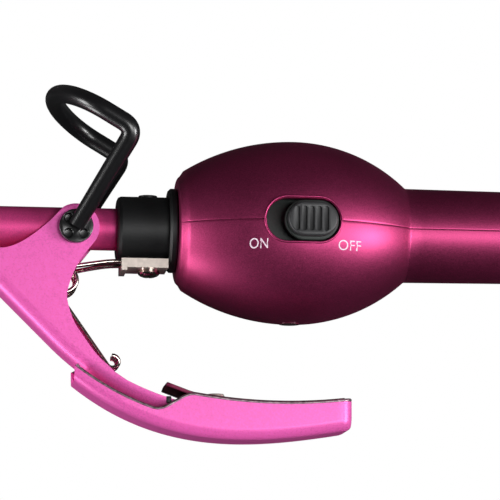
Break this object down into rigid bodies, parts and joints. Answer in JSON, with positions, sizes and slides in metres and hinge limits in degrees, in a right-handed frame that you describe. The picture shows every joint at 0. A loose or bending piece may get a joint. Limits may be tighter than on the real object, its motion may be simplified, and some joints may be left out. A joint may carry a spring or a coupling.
{
  "type": "curling iron",
  "caption": "Slim curling iron with a sprung clamp and thumb lever, folding wire stand, egg-shaped grip housing with a slide switch, and a swivelling cord outlet.",
  "frame": {"origin": "centre of the mouth of the cord outlet, on the barrel's axis, at the tail of the handle", "axes": "+X along the barrel towards its tip, +Z towards the thumb lever, -Y towards the slide switch"},
  "size_m": [0.365, 0.0408, 0.0752],
  "materials": {
    "magenta_paint": "deep magenta metallic paint, satin",
    "barrel_coat": "magenta satin coating",
    "clamp_coat": "bright pink satin coating",
    "black_plastic": "matte black",
    "gloss_black": "gloss black",
    "switch_grey": "satin dark grey",
    "nickel": "bright nickel",
    "steel": "satin",
    "brass_ring": "satin",
    "white_ceramic": "matte ceramic",
    "mica_sleeve": "matte",
    "lead_red": "satin",
    "board_green": "gloss",
    "white_nylon": "matte",
    "led_red": "clear red",
    "lens_smoke": "tinted gloss"
  },
  "bodies": {
    "iron": {"barrel_tube": "barrel_coat", "insulator_sleeve": "mica_sleeve", "heater_core": "white_ceramic", "heater_leads": "lead_red", "thermal_fuse": "steel", "tip_cap": "black_plastic", "pivot_studs": "nickel", "collar": "black_plastic", "clip_plate": "nickel", "clip_screw": "nickel", "shell_lever_side": "magenta_paint", "shell_stand_side": "magenta_paint", "shell_screws": "steel", "switch_body": "white_nylon", "control_board": "board_green", "indicator_led": "led_red", "indicator_lens": "lens_smoke", "tail_ring": "black_plastic", "contact_carrier": "white_nylon", "supply_leads": "lead_red", "torsion_spring": "nickel"},
    "clamp": {"clamp_bracket": "clamp_coat", "clamp_spoon": "barrel_coat", "thumb_tray": "clamp_coat", "thumb_liner": "magenta_paint", "thumb_screw": "nickel"},
    "stand": {"stand_loop": "gloss_black", "stand_hubs": "gloss_black"},
    "switch": {"switch_knob": "switch_grey"},
    "outlet": {"swivel_gland": "black_plastic", "slip_rings": "brass_ring"}
  },
  "joints": [
    {"name": "clamp_hinge", "type": "hinge", "parent": "iron", "child": "clamp", "pos_m": [0.194, 0, 0.0005], "axis": [0, -1, 0], "range_deg": [0, 16], "stiffness_Nm_per_rad": 0.15, "springref_deg": -45.84, "deforming": ["torsion_spring"]},
    {"name": "stand_hinge", "type": "hinge", "parent": "iron", "child": "stand", "pos_m": [0.194, 0, 0.0005], "axis": [0, -1, 0], "range_deg": [-28, 65]},
    {"name": "switch_slide", "type": "slide", "parent": "iron", "child": "switch", "axis": [1, 0, 0], "range_m": [0, 0.0036]},
    {"name": "outlet_swivel", "type": "hinge", "parent": "iron", "child": "outlet", "pos_m": [0, 0, 0], "axis": [-1, 0, 0], "continuous": true}
  ]
}
